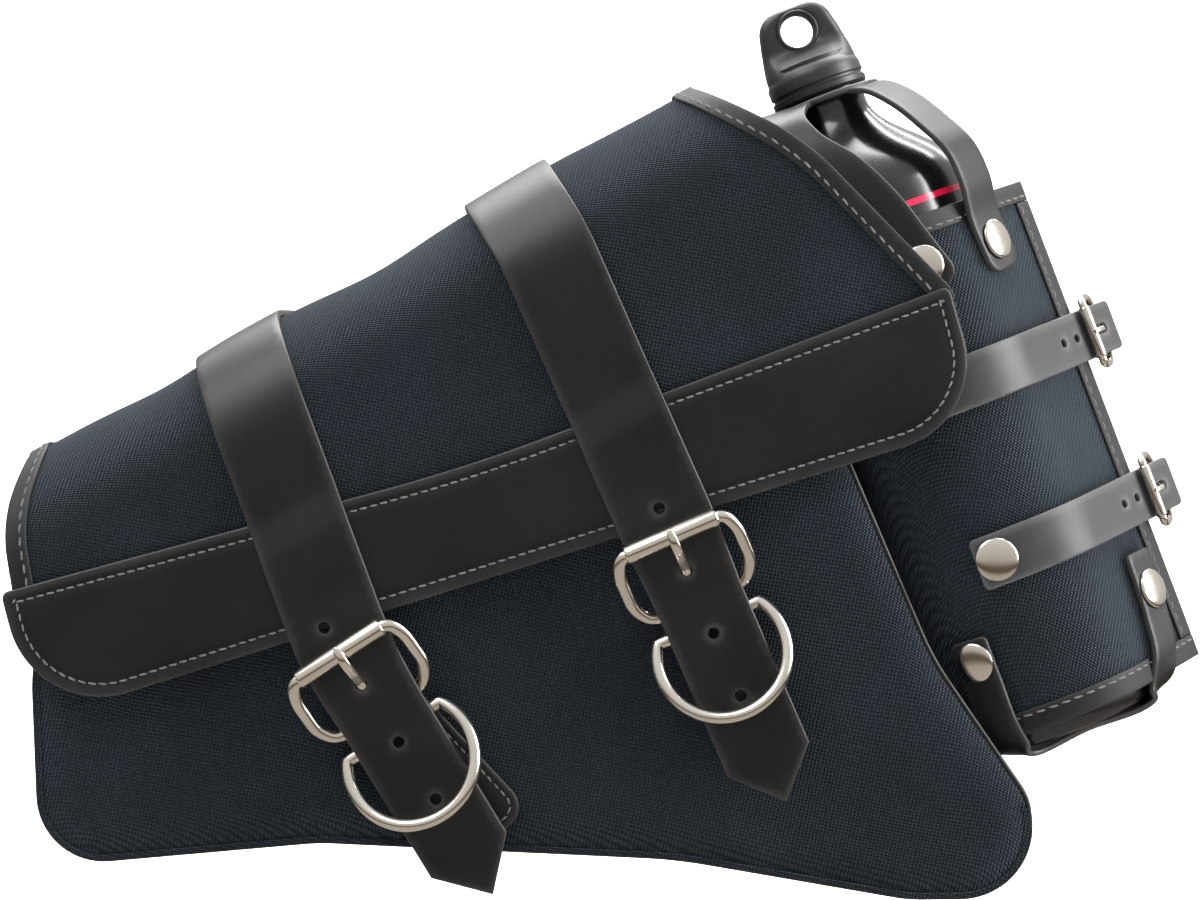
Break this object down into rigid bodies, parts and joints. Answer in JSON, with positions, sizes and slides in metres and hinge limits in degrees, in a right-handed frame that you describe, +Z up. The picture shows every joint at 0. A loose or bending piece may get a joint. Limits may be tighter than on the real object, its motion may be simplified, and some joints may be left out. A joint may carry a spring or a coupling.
{
  "type": "pannier bag",
  "caption": "Canvas and leather side bag with a buckled flap and a strapped holder that carries a capped bottle.",
  "frame": {"origin": "on the outer face of the back panel, near its middle", "axes": "+X towards the bottle, +Y out of the back face, +Z up"},
  "size_m": [0.4696, 0.1194, 0.3542],
  "materials": {
    "canvas": "woven cotton canvas, dark slate navy",
    "leather": "satin near-black leather",
    "nickel": "polished nickel plate",
    "stiffener": "matt board",
    "bottle_shell": "gloss black lacquer",
    "ring_red": "gloss",
    "cap_plastic": "satin moulded",
    "seal_rubber": "matt"
  },
  "bodies": {
    "bag": {"back_panel": "canvas", "front_panel": "canvas", "back_stiffener": "stiffener", "back_piping": "leather", "front_piping": "leather", "gusset": "canvas", "mount_eyelets": "nickel", "chape_left": "leather", "chape_right": "leather", "buckle_frame_left": "nickel", "buckle_frame_right": "nickel", "holder_sleeve": "canvas", "holder_top_binding": "leather", "holder_bottom_binding": "leather", "holder_edge_binding": "leather", "holder_belt_upper": "leather", "holder_belt_lower": "leather", "belt_rivet_upper": "nickel", "belt_rivet_lower": "nickel", "belt_chape_upper": "leather", "belt_chape_lower": "leather", "belt_buckle_upper": "nickel", "belt_buckle_lower": "nickel", "bottom_strap": "leather", "bottom_strap_studs": "nickel", "neck_strap": "leather", "neck_strap_studs": "nickel"},
    "flap": {"flap": "canvas", "flap_band": "leather", "flap_left_binding": "leather", "flap_right_binding": "leather", "closure_strap_left": "leather", "closure_strap_right": "leather"},
    "prong_right": {"buckle_prong_right": "nickel"},
    "roller_right": {"buckle_roller_right": "nickel"},
    "ring_right": {"d_ring_right": "nickel"},
    "prong_left": {"buckle_prong_left": "nickel"},
    "roller_left": {"buckle_roller_left": "nickel"},
    "ring_left": {"d_ring_left": "nickel"},
    "belt_prong_upper": {"belt_prong_upper": "nickel"},
    "belt_roller_upper": {"belt_roller_upper": "nickel"},
    "belt_prong_lower": {"belt_prong_lower": "nickel"},
    "belt_roller_lower": {"belt_roller_lower": "nickel"},
    "bottle": {"bottle_wall": "bottle_shell", "bottle_base": "bottle_shell", "bottle_shoulder": "bottle_shell", "bottle_ring": "ring_red"},
    "cap": {"cap": "cap_plastic", "cap_seal": "seal_rubber"}
  },
  "joints": [
    {"name": "flap_hinge", "type": "hinge", "parent": "bag", "child": "flap", "pos_m": [-0.15616, 0.0003, 0.02524], "axis": [-0.8746, 0, -0.4848], "range_deg": [0, 150], "deforming": ["closure_strap_left", "closure_strap_right"]},
    {"name": "prong_right_hinge", "type": "hinge", "parent": "bag", "child": "prong_right", "pos_m": [0.0687, -0.1024, -0.0153], "axis": [0.9171, 0, 0.3987], "range_deg": [0, 25]},
    {"name": "roller_right_spin", "type": "hinge", "parent": "bag", "child": "roller_right", "pos_m": [0.05793, -0.1126, 0.00946], "axis": [0.9171, 0, 0.3987], "continuous": true},
    {"name": "ring_right_swing", "type": "hinge", "parent": "bag", "child": "ring_right", "pos_m": [0.07249, -0.102, -0.02401], "axis": [-0.9171, 0, -0.3987], "range_deg": [0, 60]},
    {"name": "prong_left_hinge", "type": "hinge", "parent": "bag", "child": "prong_left", "pos_m": [-0.0535, -0.1024, -0.0578], "axis": [0.8387, 0, 0.5446], "range_deg": [0, 25]},
    {"name": "roller_left_spin", "type": "hinge", "parent": "bag", "child": "roller_left", "pos_m": [-0.06821, -0.1126, -0.03516], "axis": [0.8387, 0, 0.5446], "continuous": true},
    {"name": "ring_left_swing", "type": "hinge", "parent": "bag", "child": "ring_left", "pos_m": [-0.04833, -0.102, -0.06577], "axis": [-0.8387, 0, -0.5446], "range_deg": [0, 60]},
    {"name": "belt_prong_upper_hinge", "type": "hinge", "parent": "bag", "child": "belt_prong_upper", "pos_m": [0.23346, -0.03286, 0.0916], "axis": [-0.3535, 0, 0.9354], "range_deg": [0, 20]},
    {"name": "belt_roller_upper_spin", "type": "hinge", "parent": "bag", "child": "belt_roller_upper", "pos_m": [0.22822, -0.04935, 0.08962], "axis": [-0.3535, 0, 0.9354], "continuous": true},
    {"name": "belt_prong_lower_hinge", "type": "hinge", "parent": "bag", "child": "belt_prong_lower", "pos_m": [0.2575, -0.03286, 0.02799], "axis": [-0.3535, 0, 0.9354], "range_deg": [0, 20]},
    {"name": "belt_roller_lower_spin", "type": "hinge", "parent": "bag", "child": "belt_roller_lower", "pos_m": [0.25225, -0.04935, 0.02601], "axis": [-0.3535, 0, 0.9354], "continuous": true},
    {"name": "bottle_slide", "type": "slide", "parent": "bag", "child": "bottle", "axis": [-0.3535, 0, 0.9354], "range_m": [0, 0.26], "deforming": ["neck_strap"]},
    {"name": "cap_lift", "type": "slide", "parent": "bottle", "child": "cap", "axis": [-0.3535, 0, 0.9354], "range_m": [0, 0.04]}
  ]
}
